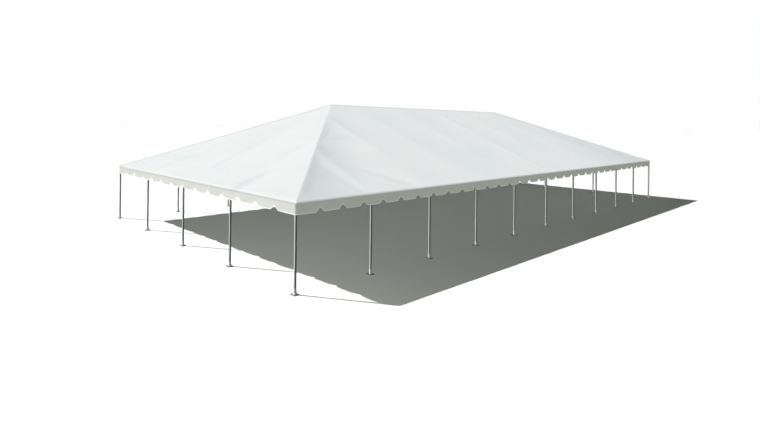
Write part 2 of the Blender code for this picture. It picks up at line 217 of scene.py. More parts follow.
class Paint:
    """A material under construction, around one Principled shader."""

    def __init__(self, name, color, roughness, metallic=0):
        self.material = bpy.data.materials.new(name)
        self.material.use_nodes = True
        self.tree = self.material.node_tree
        self.shader = self.tree.nodes["Principled BSDF"].inputs
        put(self.shader["Base Color"], color)
        put(self.shader["Roughness"], roughness)
        put(self.shader["Metallic"], metallic)
        self.place = self.node("TexCoord", output="Object")
        self.relief = {}

    def node(self, kind, inputs=(), output=0, **settings):
        return add_node(self.tree, kind, inputs, output, **settings)

    def axes(self):
        """The object's own coordinates."""
        return map(Value, self.node("SeparateXYZ", {0: self.place}).socket.node.outputs)

    def noise(self, scale, detail=4, roughness=0.55, stretch=(1, 1, 1)):
        spot = self.node("VectorMath", {0: self.place, 1: stretch}, operation="MULTIPLY")
        settings = {"Vector": spot, "Scale": scale, "Detail": detail, "Roughness": roughness}
        return self.node("TexNoise", settings)

    def mix(self, share, first, second):
        return self.node("Mix", {0: share, 6: first, 7: second}, 2, data_type="RGBA")

    def bump(self, height, distance):
        """Adds one layer of relief, with its height in metres."""
        end = self.node("Bump", {"Height": height, "Distance": distance, **self.relief})
        self.relief = {"Normal": end}
        put(self.shader["Normal"], end)

    def finish(self, tone, roughness):
        put(self.shader["Base Color"], tone)
        put(self.shader["Roughness"], roughness)
        return self.material


DUST = (0.46, 0.44, 0.4)
# painted shade on the roof vinyl: beside the lower hips, over the right end of the slopes and along
# the folds
PAINTED_SHADE = (0.64, 0.662, 0.668)
# painted shade on the fold over the eave rail
EAVE_FOLD_SHADE = (0.72, 0.73, 0.71)
# painted shade in strips along the ridge and the hips
EDGE_SHADE = (0.655, 0.672, 0.668)
VINYL_ROUGHNESS = 0.42
THREAD_WAVES = 2600
SEAM_PITCH = BAY / 2
SEAM_SHIFT = 40.25  # pitches, enough to keep the run positive everywhere


def roof_marks(paint, tone, shade, cloud):
    """The roof's seams, and painted shade on the eave fold, beside the hips, along the folds, and
    in strips on the ridge and hips.
    """
    along, across, up = paint.axes()
    size_y = abs(across)
    side_rise = (EDGE_Y - size_y) * SIDE_SLOPE
    end_rise = (EDGE_X - abs(along)) * END_SLOPE
    on_end = side_rise.math("GREATER_THAN", end_rise)
    on_side = 1 - on_end
    run = along * on_side + across * on_end + SEAM_PITCH * SEAM_SHIFT
    off = abs(run.math("MODULO", SEAM_PITCH) - SEAM_PITCH / 2)
    seam = off.spread(1, 0, 0.018, 0.021)
    paint.bump(seam, 0.0006)
    tone = paint.mix(seam * 0.35, tone, shade)
    # painted shade on the fold over the eave rail and on the side hems, but not on the hems of the
    # ends
    edge = up.spread(1, 0, EAVE_HEIGHT - 0.002, EAVE_HEIGHT + 0.016)
    hem = on_end * up.spread(1, 0, EAVE_HEIGHT - 0.038, EAVE_HEIGHT - 0.028)
    tone = paint.mix(edge * (1 - hem), tone, EAVE_FOLD_SHADE)
    # painted shade in the hollow along the lower part of each hip, and over the right end of both
    # slopes
    share = side_rise.math("MINIMUM", end_rise) / ROOF_RISE
    off_hip = abs(side_rise - end_rise) / hypot(SIDE_SLOPE, END_SLOPE)
    reach = share.spread(1.35, 0.55, 0, 0.6) * along.spread(1, 1.9, 5, 13)
    hollow = bell(off_hip, reach) * share.spread(1, 0, 0.4, 0.88)
    hollow = hollow * cloud.spread(0.75, 1, 0.35, 0.65)
    hollow = hollow.math("MAXIMUM", along.spread(0, 0.92, 6.5, 13.5)) * on_side
    tone = paint.mix(hollow, tone, PAINTED_SHADE)
    # painted shade along each tension fold, growing from its start and fading at its end
    for start, stop, _, _, _, dust_and_shade in FOLDS:
        passed, off = beside(along, across, start, stop)
        band = bell(abs(off), FOLD_SHADE_WIDTH) * passed.spread(0, dust_and_shade, 0, 0.6)
        tone = paint.mix(band * passed.spread(1, 0, 0.9, 1), tone, PAINTED_SHADE)
    # painted shade in a strip along the ridge, and along every hip but the near left one
    near_left = along.math("LESS_THAN", 0) * across.math("LESS_THAN", 0)
    strip = off_hip.spread(1, 0, 0.17, 0.28) * (1 - near_left)
    top = size_y.spread(0.9, 0, 0.08, 0.15) * on_side
    return paint.mix(strip.math("MAXIMUM", top), tone, EDGE_SHADE)


def coated_vinyl(name, color, shade, grime, marks=None):
    """Woven polyester with a vinyl coat: cloudy tone, fine threads, soft relief."""
    paint = Paint(name, color, VINYL_ROUGHNESS)
    cloud = paint.noise(0.35, 3)
    fleck = paint.noise(9, 5, 0.65)
    streak = paint.noise(2.2, 4, 0.6, (1, 1, 0.12))
    tone = paint.mix(cloud.spread(0, 1, 0.35, 0.65), color, shade)
    tone = paint.mix(fleck.spread(0, 0.1, 0.5, 0.8) * streak, tone, grime)
    along, across, up = paint.axes()
    warp = (along * THREAD_WAVES).math("SINE")
    weft = ((across + up) * THREAD_WAVES).math("SINE")
    paint.bump(warp * weft, 0.00012)
    paint.bump(paint.noise(26, 3), 0.0009)
    paint.bump(paint.noise(3, 2), 0.004)
    if marks:
        tone = marks(paint, tone, shade, cloud)
    return paint.finish(tone, fleck.spread(0.36, 0.52, 0.3, 0.7))


def metal(name, color, dark, roughness, grain=1, drawn=1, spangle=False, wear=0.04, relief=1):
    """Bare metal with lines or grain, stains and a dusty foot."""
    paint = Paint(name, color, roughness, 1)
    lines = paint.noise(9, 5, 0.6, (grain, grain, drawn))
    stain = paint.noise(7, 6, 0.62)
    blotch = paint.noise(1.7, 3)
    tone = paint.mix(stain.spread(0, 0.55, 0.5, 0.85), color, dark)
    tone = paint.mix(blotch.spread(0, 0.22, 0.35, 0.75), tone, dark)
    rough = lines.spread(roughness - wear, roughness + wear, 0.3, 0.7)
    rough = rough + stain.spread(0, 2.5 * wear, 0.55, 0.85)
    if spangle:
        cells = paint.node("TexVoronoi", {"Vector": paint.place, "Scale": 95}, "Color")
        flake = paint.node("SeparateColor", {0: cells})
        rough = rough + flake.spread(-0.05, 0.09)
        tone = paint.mix(flake.spread(0, 0.22), tone, dark)
    _, _, height = paint.axes()
    dust_and_shade = height.spread(0.5, 0, 0, 0.14) * stain.spread(0.2, 1, 0.3, 0.6)
    paint.bump(lines, 0.00012 * relief)
    paint.bump(stain, 0.0003 * relief)
    return paint.finish(paint.mix(dust_and_shade, tone, DUST), rough + dust_and_shade * 0.35)


ROOF_VINYL = coated_vinyl(
    "roof_vinyl", (0.8, 0.815, 0.812), (0.765, 0.785, 0.785), (0.62, 0.61, 0.57), roof_marks)
SKIRT_VINYL = coated_vinyl(
    "skirt_vinyl", (0.7, 0.71, 0.675), (0.67, 0.682, 0.645), (0.56, 0.55, 0.5))
BINDING = coated_vinyl(
    "binding_tape", (0.92, 0.93, 0.91), (0.88, 0.89, 0.87), (0.62, 0.61, 0.56))
LEG_METAL = metal(
    "leg_tube", (0.6, 0.61, 0.6), (0.48, 0.49, 0.48), 0.38, 60, 1.5, wear=0.018, relief=0.4)
# The base plates' near-black steel is partly the steel's own dark colour and partly painted shade
# for the shadow on the plates.
PLATE_METAL = metal("foot_steel", (0.17, 0.17, 0.17), (0.1, 0.1, 0.095), 0.5, spangle=True)
FRAME_METAL = metal("frame_tube", (0.68, 0.69, 0.7), (0.47, 0.48, 0.49), 0.31, 6, 6)
FITTING_METAL = metal("cast_fitting", (0.6, 0.61, 0.61), (0.38, 0.38, 0.38), 0.38, spangle=True)
# The foot socket's near-white tone is painted light: it stands for the sunlit flare at each foot.
SOCKET_PAINTED_LIGHT = metal("foot_socket", (0.88, 0.89, 0.88), (0.72, 0.73, 0.72), 0.5, relief=0.5)
BOLT_STEEL = metal("zinc_bolts", (0.62, 0.61, 0.56), (0.4, 0.38, 0.33), 0.28)
TIE_METAL = metal("tie_steel", (0.55, 0.56, 0.57), (0.33, 0.34, 0.34), 0.33, 3, 3)


# Mesh building

def neighbours(count, closed):
    """Pairs of neighbours in a row, which may close on itself."""
    return [(i, (i + 1) % count) for i in range(count if closed else count - 1)]


def grid_faces(rows, columns, flip=False, closed_rows=False, closed_columns=False):
    """Quads of a grid whose points are stored row by row."""
    faces = [
        (r * columns + c, r * columns + d, s * columns + d, s * columns + c)
        for r, s in neighbours(rows, closed_rows)
        for c, d in neighbours(columns, closed_columns)
    ]
    return [face[::-1] for face in faces] if flip else faces


def arc(x, y, radius, steps, start=0, stop=2 * pi):
    """Points on an arc. A full circle comes back to its first point."""
    angles = [start + (stop - start) * step / steps for step in range(steps + 1)]
    return [(x + radius * cos(angle), y + radius * sin(angle)) for angle in angles]


class Shape:
    """The mesh of one piece, as it grows."""

    def __init__(self):
        self.points, self.faces, self.paints = [], [], []

    def add(self, points, faces, paint=BAR):
        base = len(self.points)
        self.points += [tuple(float(c) for c in p) for p in points]
        self.faces += [tuple(base + i for i in face) for face in faces]
        self.paints += [paint] * len(faces)

    def loft(self, points, columns, paint=FITTING, ring=False):
        """A solid through loops of points, capped at both ends or closed to a ring."""
        rows = len(points) // columns
        faces = grid_faces(rows, columns, closed_rows=ring, closed_columns=True)
        if not ring:
            faces.append(tuple(range(columns))[::-1])
            faces.append(tuple(range((rows - 1) * columns, rows * columns)))
        self.add(points, faces, paint)

    def piece(self, name, materials, slot, stands_for=(), sharp=38, merge=0):
        """The finished piece, on the tent's body."""
        mesh = bpy.data.meshes.new(name)
        mesh.from_pydata(self.points, [], self.faces)
        for material in materials:
            mesh.materials.append(material)
        mesh.polygons.foreach_set("material_index", self.paints)
        if merge:
            work = bmesh.new()
            work.from_mesh(mesh)
            bmesh.ops.remove_doubles(work, verts=work.verts, dist=merge)
            bmesh.ops.dissolve_degenerate(work, edges=work.edges, dist=merge)
            work.to_mesh(mesh)
            work.free()
        mesh.polygons.foreach_set("use_smooth", [True] * len(mesh.polygons))
        mesh.set_sharp_from_angle(angle=radians(sharp))
        mesh.update()
        made = add_object(name, mesh)
        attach(made, "root")
        if stands_for:
            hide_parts(*stands_for)
        return made


def thicken(cloth, thickness):
    """Gives a cloth its thickness, inward, and returns its area."""
    solid = cloth.modifiers.new("cloth thickness", "SOLIDIFY")
    solid.thickness = thickness
    solid.offset = -1
    return sum(face.area for face in cloth.data.polygons)


def placed(spot, first, second=UP):
    """A placement with its X and Y axes along two directions."""
    first = Vector(first).normalized()
    turn = Matrix((first, second, first.cross(second))).transposed()
    return Matrix.Translation(spot) @ turn.to_4x4()


def turned(shape, start, direction, profile, sides=24, paint=FITTING, ring=False):
    """A turned solid or ring, from distances along the axis and radii."""
    turn = Vector(direction).normalized().to_track_quat("Z", "Y").to_matrix()
    points = [
        Vector(start) + turn @ Vector((x, y, along))
        for along, radius in profile
        for x, y in arc(0, 0, radius, sides)[:-1]
    ]
    shape.loft(points, sides, paint, ring)


def mirrored(shape, start, end, profile, sides, paint=FITTING):
    """A turned bar with the same profile from both ends."""
    run = Vector(end) - Vector(start)
    far = [(run.length - along, radius) for along, radius in profile[::-1]]
    turned(shape, start, run, profile + far, sides, paint)


def tube(shape, start, end, radius, sides=24, paint=BAR):
    """A round bar with slightly eased ends."""
    mirrored(shape, start, end, [(0, radius - 0.002), (0.002, radius)], sides, paint)


def weld(shape, centre, radius, bead, sides):
    """A weld bead round an upright tube."""
    curl = [(up, out) for out, up in arc(radius, 0, bead, 6)[:-1]]
    turned(shape, centre, UP, curl, sides, ring=True)


def hex_bolt(shape, centre, direction, reach, size):
    """A bolt through a tube: head, nut and a washer under each."""
    axis = Vector(direction).normalized()
    washer = [(0, size * 1.15), (0.0035, size * 1.15), (0.004, size * 1.1)]
    head = [(0, size * 0.9), (size * 0.55, size * 0.9), (size * 0.68, size * 0.9 * 0.86)]
    thread = [(0, size * 0.48), (size * 0.5, size * 0.48), (size * 0.6, size * 0.4)]
    for way in (-axis, axis):
        seat = Vector(centre) + way * (reach - 0.002)
        turned(shape, seat, way, washer, 18, BOLT)
        turned(shape, seat + way * 0.004, way, head, 6, BOLT)
    turned(shape, Vector(centre) - axis * (reach + 0.002 + size * 0.6), -axis, thread, 12, BOLT)


def set_screw(shape, centre, direction, reach, size=0.0085):
    """A hex-headed set screw on a washer, in the side of a sleeve."""
    axis = Vector(direction).normalized()
    seat = Vector(centre) + axis * (reach - 0.004)
    washer = [(0, size * 1.25), (0.0055, size * 1.25), (0.0065, size * 1.1)]
    head = [(0, size * 0.9), (size * 0.6, size * 0.9), (size * 0.72, size * 0.72)]
    turned(shape, seat, axis, washer, 14, BOLT)
    turned(shape, seat + axis * 0.0065, axis, head, 6, BOLT)


def slab(shape, outline, thickness, place):
    """A flat plate, centred on its own plane."""
    levels = (-thickness / 2, thickness / 2)
    shape.loft([place @ Vector((x, y, z)) for z in levels for x, y in outline], len(outline))


# Roof cloth

NEAR_TOP = np.array([0.026, 0.018, 0.0115, 0.0065, 0.003, 0])
SLOPE_ROWS = np.append(np.linspace(0, 0.965, 80), 1 - NEAR_TOP)
NEAR_HIP = np.array([0, 0.012, 0.026, 0.044, 0.068, 0.1, 0.145, 0.2, 0.27, 0.35, 0.44])
NEAR_HIP_FULL = 1.2
MIDDLE_REACH = 5.6
SIDE_COLUMNS = (72, 28)
END_COLUMNS = (50, 2)
# Creases in the roof cloth: plan points of both ends, widths before and behind, and depth
CREASES = [
    ((-12.82, -4.1), (-12.54, -6.5), 0.085, 0.4, 0.05),
    ((-11.6, -4.68), (-9.7, -6.18), 0.08, 0.28, 0.036),
    ((-14.2, 0.9), (-14.06, -3.6), 0.14, 0.34, 0.004),
    ((8.3, 4.3), (10.9, 6.25), 0.1, 0.24, 0.016),
    ((12.6, 4.2), (12.75, 6.25), 0.09, 0.26, 0.02),
    ((14.1, 3.4), (15.5, 3.2), 0.1, 0.18, 0.016),
    ((-10.4, 4.55), (-12.3, 6.2), 0.09, 0.24, 0.016),
]
HIP_REST = 0.005
RAFTER_REST = 0.009
PURLIN_REST = 0.014
REST_WIDTH = 0.05
REST_SPREAD = 0.09
HIP_SPREAD = 0.22


def from_corner(reach, middle, coarse):
    """Distances from a hip, closer together beside it."""
    near = NEAR_HIP * min(1, reach / NEAR_HIP_FULL)
    left = reach - near[-1]
    cut = min(left, MIDDLE_REACH)
    middle_part = near[-1] + np.linspace(0, cut, middle + 1)[1:]
    far_part = middle_part[-1] + np.linspace(0, left - cut, coarse + 1)[1:]
    return np.concatenate([near, middle_part, far_part])


def wrinkle(x, y, start, stop, before, behind, depth):
    """How deep a crease or how high a fold is at points of the plan."""
    passed, off = beside(x, y, start, stop)
    fade = np.clip(1 - (2 * passed - 1) ** 2, 0, 1) ** 0.6
    return depth * fade * np.exp(-((off / np.where(off < 0, before, behind)) ** 2))


def cloth_height(x, y):
    """Height of the roof cloth's upper face at points of the plan."""
    level = np.sqrt(y * y + RIDGE_SOFTNESS ** 2)
    side = EAVE_HEIGHT + SIDE_SLOPE * (EDGE_Y - level)
    end = EAVE_HEIGHT + END_SLOPE * (EDGE_X - np.abs(x))
    soft = HIP_SOFTNESS * np.log1p(np.exp(-np.abs(side - end) / HIP_SOFTNESS))
    base = np.minimum(side, end) - soft
    # how far up the slope, how far from the hip and how far from a rafter
    share = np.clip((base - EAVE_HEIGHT) / ROOF_RISE, 0, 1)
    from_hip = np.abs(side - end) / hypot(SIDE_SLOPE, END_SLOPE)
    on_side = side < end
    from_rafter = np.abs((np.where(on_side, x, y) + BAY / 2) % BAY - BAY / 2)
    # the cloth hangs a little between the rafters, and more beside the lower half of a hip
    bay_wave = 1 - (1 - from_rafter / (BAY / 2)) ** 2
    sag = BAY_SAG * bay_wave * np.sin(pi * share) ** 0.8
    fall = (1 - np.exp(-from_hip / HIP_SAG_REACH)) * np.exp(-((from_hip / HIP_SAG_WIDTH) ** 2))
    upper = np.clip((share - HIP_SAG_TOP) / HIP_SAG_FADE, 0, 1)
    free = np.clip(share / EAVE_HOLD, 0, 1) * (1 - upper * upper * (3 - 2 * upper))
    free = free * (1 - 0.5 * np.exp(-(((share - JACK_HOLD) / JACK_HOLD_WIDTH) ** 2)))
    free = free * np.where(on_side, 1, END_SAG)
    sag = sag + HIP_SAG * fall * free * bay_wave ** 0.7
    sag = sag + sum(wrinkle(x, y, *crease) for crease in CREASES)
    # it rests on the hips, the rafters, the purlin, the ridge and the eave rail
    slope_length = np.where(on_side, hypot(EDGE_Y, ROOF_RISE), hypot(HIP_RUN, ROOF_RISE))
    room = SAG_LIMIT
    for rest, distance, spread in (
        (HIP_REST, from_hip, HIP_SPREAD),
        (RAFTER_REST, from_rafter, REST_SPREAD),
        (PURLIN_REST, np.abs(share - 0.5) * slope_length, REST_SPREAD),
        (HIP_REST, np.abs(y), REST_SPREAD),
        (HIP_REST, share * slope_length - OVERHANG, HIP_SPREAD),
    ):
        room = np.minimum(room, rest + spread * np.clip(distance - REST_WIDTH, 0, None))
    lift = sum(wrinkle(x, y, *fold[:5]) for fold in FOLDS) * room / SAG_LIMIT
    return base - room * (1 - np.exp(-sag / room)) + lift


def roof_half(name, end, lap):
    """Half of the roof cloth: three slopes, the fold over the eave rail and the hem."""
    side_angle, end_angle = atan(SIDE_SLOPE), atan(END_SLOPE)
    inset_side = FOLD_RADIUS * (1 - sin(side_angle))
    inset_end = FOLD_RADIUS * (1 - sin(end_angle))
    middle = [-0.018, -0.004, 0.03, LAP] if lap else [-LAP, -LAP / 2, -0.012, 0]
    # the columns run along the +Y side, round a corner, along the end, and back along the -Y side
    plan = []
    for step in SLOPE_ROWS:
        corner_x = EDGE_X - inset_end - (HIP_RUN + OVERHANG - inset_end) * step
        corner_y = (EDGE_Y - inset_side) * (1 - step)
        side_x = from_corner(corner_x - LAP_ZONE, *SIDE_COLUMNS) - corner_x
        side_x = np.append(side_x, middle)
        side_y = np.full(len(side_x) + CORNER_STEPS - 1, corner_y)
        end_y = corner_y - from_corner(corner_y, *END_COLUMNS)
        end_y = np.append(end_y, -end_y[-2::-1])
        end_x = np.full(len(end_y) + 2 * CORNER_STEPS - 2, -corner_x)
        row_x = np.concatenate([side_x[::-1], end_x, side_x])
        plan.append((row_x, np.concatenate([side_y, end_y, -side_y])))
    x, y = np.array(plan).transpose(1, 0, 2)
    # which way each column faces: 0 is +Y, 1 is along the end and 2 is -Y
    corner = np.arange(1, CORNER_STEPS) / CORNER_STEPS
    flat_side, flat_end = np.zeros(len(side_x)), np.ones(len(end_y))
    turn = np.concatenate([flat_side, corner, flat_end, 1 + corner, flat_side + 2])
    facing_x, facing_y = -np.sin(turn * pi / 2), np.cos(turn * pi / 2)
    slope = side_angle + (end_angle - side_angle) * (1 - np.abs(turn - 1))
    points = list(np.stack([x, y, cloth_height(x, y)], -1))
    lean = [np.tile((0, 0, 1), (len(turn), 1))] * len(points)
    edge_x, edge_y, edge_z = points[0].T
    # the fold over the eave rail, and below it the hem
    for step in range(1, FOLD_STEPS + HEM_ROWS + 1):
        angle = (pi / 2 - slope) * max(0, 1 - step / FOLD_STEPS)
        flat = np.cos(angle)
        out = FOLD_RADIUS * (flat - np.sin(slope))
        level = edge_z - FOLD_RADIUS * (np.cos(slope) - np.sin(angle))
        level += (HEM_BOTTOM - level) * max(0, step - FOLD_STEPS) / HEM_ROWS
        points.insert(0, np.stack([edge_x + facing_x * out, edge_y + facing_y * out, level], -1))
        lean.insert(0, np.stack([facing_x * flat, facing_y * flat, np.sin(angle)], -1))
    points = np.array(points)
    # the lap lies under the other half, whose edge is drawn down onto it
    if lap:
        sink = LAP_DROP * (points[:, :, 0] > -0.01)
    else:
        sink = LAP_PRESS * np.clip(1 + points[:, :, 0] / LAP, 0, 1) ** 2
    points -= np.array(lean) * sink[:, :, None]
    points[:, :, 0] *= -end
    shape = Shape()
    shape.add(points.reshape(-1, 3), grid_faces(*points.shape[:2], flip=end > 0))
    stands_for = (f"canopy_{name}_end", "canopy_front", "canopy_back")
    cloth = shape.piece(f"roof_cloth_{name}", [ROOF_VINYL], "canopy_vinyl", stands_for, 60, 2e-5)
    area = thicken(cloth, ROOF_CLOTH)


roof_half("left", -1, 0)
roof_half("right", 1, LAP)


# Valances

FACE_SET_BACK = 0.0037
FRONT_END_INSET = 0.0775
WRAP_INSET = 0.04
WRAP_REACH = 0.095
WRAP_STEPS = 16
CORNER_RADIUS = 0.05
MIDDLE_GAP = 0.0006
SKIRT_TOP = 2.423
SKIRT_FREE = HEM_BOTTOM - 0.004
SKIRT_SPLIT = 2.245
UPPER_ROWS = 4
LOWER_ROWS = 5
LAP_CLEAR = 0.045
NOTCH_HALF_WIDTH = 0.145
NOTCH_HEIGHT = 0.105
NOTCH_STEPS = 14
LOBE_STEPS = 10
LOBE_RISE = 0.006
LONG_RIPPLE = 1.52
LONG_DEPTH = 0.012
SHORT_RIPPLE = 0.437
SHORT_DEPTH = 0.0035
CORNER_FADE = 0.5
# The binding's section, in order round it: how far up the cloth, and how far out from its face
TAPE_PROFILE = [
    (-0.0016, -0.0042), (0.002, -0.0056), (0.023, -0.0056), (0.0245, -0.0048), (0.0245, 0.0026),
    (0.023, 0.0034), (0.002, 0.0034), (-0.0016, 0.0022), (-0.0022, -0.0005),
]


def lower_edge(length, scallops):
    """The lower edge of a side: distances from its middle and heights."""
    pitch = length / scallops
    lobe = pitch / 2 - NOTCH_HALF_WIDTH
    left = [
        (-pitch / 2 + lobe * step / LOBE_STEPS, LOBE_RISE * (step / LOBE_STEPS) ** 2)
        for step in range(LOBE_STEPS)
    ]
    for share in (step / NOTCH_STEPS for step in range(-NOTCH_STEPS, 1)):
        left.append((share * NOTCH_HALF_WIDTH, LOBE_RISE + NOTCH_HEIGHT * cos(pi / 2 * share)))
    line = []
    for number in range(scallops + 1):
        for across, up in left + [(-across, up) for across, up in left[-2::-1]]:
            spot = -length / 2 + number * pitch + across
            if number in (0, scallops):
                if abs(spot) > length / 2 + 1e-6:
                    continue
                if abs(across) < pitch / 2 - 0.01:
                    up = 0  # no notch at a corner: the lobe runs on
            if not line or spot - line[-1][0] >= 1e-5:
                line.append((spot, up))
    return np.array(line)


def valance(name, side_name, run_from, run_to, half, scallops, face, angle, seed, wraps):
    """A valance cloth with its binding tape. It runs round the tent's corners where it wraps."""

    def place(run, height, depth=0):
        """Points of the rippled cloth, from the run along the side and the height."""
        free = np.clip((SKIRT_FREE - height) / (SKIRT_FREE - VALANCE_BOTTOM), 0, 1)
        turn = run * 2 * pi
        wave = 0.5 + 0.5 * np.sin(turn / LONG_RIPPLE + seed + 0.9 * np.sin(run * 0.83 + seed))
        small = np.sin(turn / SHORT_RIPPLE + 2.1 * seed + 1.3 * np.sin(run * 1.9))
        straight = half - CORNER_RADIUS
        fade = np.clip((straight - np.abs(run)) / CORNER_FADE, 0, 1)
        out = free ** 1.4 * (LONG_DEPTH * wave + SHORT_DEPTH * small) * fade - FACE_SET_BACK + depth
        past = np.clip(np.abs(run) - straight, 0, None)
        bend = np.minimum(past / CORNER_RADIUS, pi / 2)
        round_end = np.clip(past - CORNER_RADIUS * pi / 2, 0, None)
        along = np.minimum(np.abs(run), straight) + (CORNER_RADIUS + out) * np.sin(bend)
        along = np.sign(run) * along
        outward = -face + CORNER_RADIUS * (1 - np.cos(bend)) + round_end - out * np.cos(bend)
        c, s = cos(angle), sin(angle)
        return np.stack([along * c - outward * s, along * s + outward * c, height], axis=-1)

    edge = lower_edge(2 * half, scallops)
    keep = (edge[:, 0] > run_from + 0.001) & (edge[:, 0] < run_to - 0.001)
    runs = np.concatenate([[run_from], edge[keep, 0], [run_to]])
    low = VALANCE_BOTTOM + np.interp(runs, edge[:, 0], edge[:, 1])
    # cut back under the hem beside the lap of the two roof halves
    top = np.where(np.abs(runs) < LAP_CLEAR, SKIRT_FREE + 0.002, SKIRT_TOP)
    if wraps:
        extra = np.linspace(0.004, WRAP_REACH, WRAP_STEPS)
        runs = np.concatenate([run_from - extra[::-1], runs, run_to + extra])
        low = np.pad(low, WRAP_STEPS, constant_values=VALANCE_BOTTOM)
        top = np.full_like(runs, SKIRT_TOP)
    heights = [top]
    for share in np.arange(UPPER_ROWS) / (UPPER_ROWS - 1):
        heights.append(np.full_like(runs, SKIRT_FREE + (SKIRT_SPLIT - SKIRT_FREE) * share))
    for row in range(1, LOWER_ROWS + 1):
        heights.append(SKIRT_SPLIT + (low - SKIRT_SPLIT) * row / LOWER_ROWS)
    points = place(np.broadcast_to(runs, (len(heights), len(runs))), np.array(heights))
    shape = Shape()
    shape.add(points.reshape(-1, 3), grid_faces(*points.shape[:2], flip=True))
    cloth = shape.piece(name, [SKIRT_VINYL], "valance_vinyl", (f"valance_{side_name}",), 60)
    area = thicken(cloth, VALANCE_CLOTH)
    spots = np.stack([runs, low], axis=-1)
    spots = np.concatenate([spots[:1], spots, spots[-1:]])
    tangent = spots[2:] - spots[:-2]
    ahead, rise = (tangent / np.linalg.norm(tangent, axis=1)[:, None]).T
    band = [place(runs - rise * depth, low + ahead * depth, out) for depth, out in TAPE_PROFILE]
    binding = Shape()
    binding.loft(np.stack(band, axis=1).reshape(-1, 3), len(band), BAR)
    tape = binding.piece(name + "_binding", [BINDING], "valance_vinyl", sharp=50)


for side, side_name, angle in ((-1, "front", 0), (1, "back", pi)):
    for sign, half_name in ENDS:
        limits = sorted(-side * sign * run for run in (MIDDLE_GAP, EDGE_X - FRONT_END_INSET))
        valance(f"valance_cloth_{side_name}_{half_name}", side_name, *limits, EDGE_X, SIDE_SCALLOPS,
                EDGE_Y, angle, 0.7 + side + 0.4 * sign, False)
for end, end_name in ENDS:
    limits = (WRAP_INSET - EDGE_Y, EDGE_Y - WRAP_INSET)
    valance(f"valance_cloth_{end_name}", end_name, *limits, EDGE_Y, END_SCALLOPS,
            EDGE_X, end * pi / 2, 2.1 + end, True)


# Legs

PLATE_CORNER = 0.018
PLATE_EASE = 0.001
STAKE_HOLE = 0.011
STAKE_HOLE_PLACE = 0.074
FOOT_BOLT = 0.0085
QUARTER = pi / 2


def foot_plate():
    """Points and faces of the base plate, with a stake hole near each corner."""
    curve = bpy.data.curves.new("foot_plate", "CURVE")
    curve.dimensions = "2D"
    curve.fill_mode = "BOTH"
    curve.extrude = FOOT_PLATE_THICKNESS / 2 - PLATE_EASE
    curve.bevel_depth = PLATE_EASE
    curve.bevel_resolution = 1
    reach = FOOT_PLATE / 2 - PLATE_CORNER
    outline = []
    for number, (sx, sy) in enumerate(((1, 1), (-1, 1), (-1, -1), (1, -1))):
        turn = (number * QUARTER, (number + 1) * QUARTER)
        outline += arc(sx * reach, sy * reach, PLATE_CORNER, 5, *turn)
    holes = [
        arc(sx * STAKE_HOLE_PLACE, sy * STAKE_HOLE_PLACE, STAKE_HOLE, 16, 0, -2 * pi)[:-1]
        for sx in (-1, 1)
        for sy in (-1, 1)
    ]
    for loop in (outline, *holes):
        spline = curve.splines.new("POLY")
        spline.points.add(len(loop) - 1)
        for point, (px, py) in zip(spline.points, loop):
            point.co = (px, py, 0, 1)
        spline.use_cyclic_u = True
    mesh = add_object("foot_plate", curve).to_mesh()
    points = [v.co + UP * FOOT_PLATE_THICKNESS / 2 for v in mesh.vertices]
    faces = [tuple(f.vertices) for f in mesh.polygons]
    bpy.data.curves.remove(curve)  # this removes its object too
    return points, faces


def leg_shape():
    """A leg at the origin: tube, foot socket, bolts, weld, gussets and base plate."""
    shape = Shape()
    tube(shape, (0, 0, 0.012), (0, 0, LEG_TOP), LEG_RADIUS, 40)
    shape.add(*foot_plate(), FITTING)
    r = FOOT_SOCKET_RADIUS
    rim = FOOT_SOCKET_TOP - 0.004
    socket = [
        (0, r + 0.016), (0.01, r + 0.016), (0.022, r + 0.008), (0.04, r + 0.002), (0.056, r),
        (rim - 0.004, r), (rim - 0.0015, r - 0.001), (rim, LEG_RADIUS + 0.003),
        (rim - 0.0025, LEG_RADIUS - 0.004),
    ]
    turned(shape, (0, 0, 0.004), UP, socket, 40, SOCKET)
    weld(shape, (0, 0, FOOT_PLATE_THICKNESS + 0.001), r + 0.017, 0.0045, 40)
    web = [
        (r - 0.002, 0), (r + 0.034, 0), (r + 0.034, 0.004), (r + 0.002, 0.052), (r - 0.002, 0.052),
    ]
    for x, y in arc(0, 0, 1, 4, QUARTER / 2, 4.5 * QUARTER)[:-1]:
        slab(shape, web, 0.005, placed((0, 0, FOOT_PLATE_THICKNESS), (x, y, 0)))
    for height, way in ((0.135, 1), (0.06, -1)):
        hex_bolt(shape, (0, 0, height), (1, way, 0), r, FOOT_BOLT)
    return shape


legs = [
    (f"{side_name}_{number}", -HALF_LENGTH + number * BAY, side * HALF_WIDTH)
    for side, side_name in SIDES
    for number in range(SIDE_BAYS + 1)
] + [
    (f"{end_name}_{number}", end * HALF_LENGTH, -HALF_WIDTH + number * BAY)
    for end, end_name in ENDS
    for number in range(1, END_BAYS)
]
leg = leg_shape()
origin_points = leg.points
for leg_name, x, y in legs:
    leg.points = [(p[0] + x, p[1] + y, p[2]) for p in origin_points]
    paints = [LEG_METAL, PLATE_METAL, BOLT_STEEL, SOCKET_PAINTED_LIGHT]
    leg.piece(f"pole_{leg_name}", paints, "leg_metal", (f"leg_{leg_name}",))


# Frame

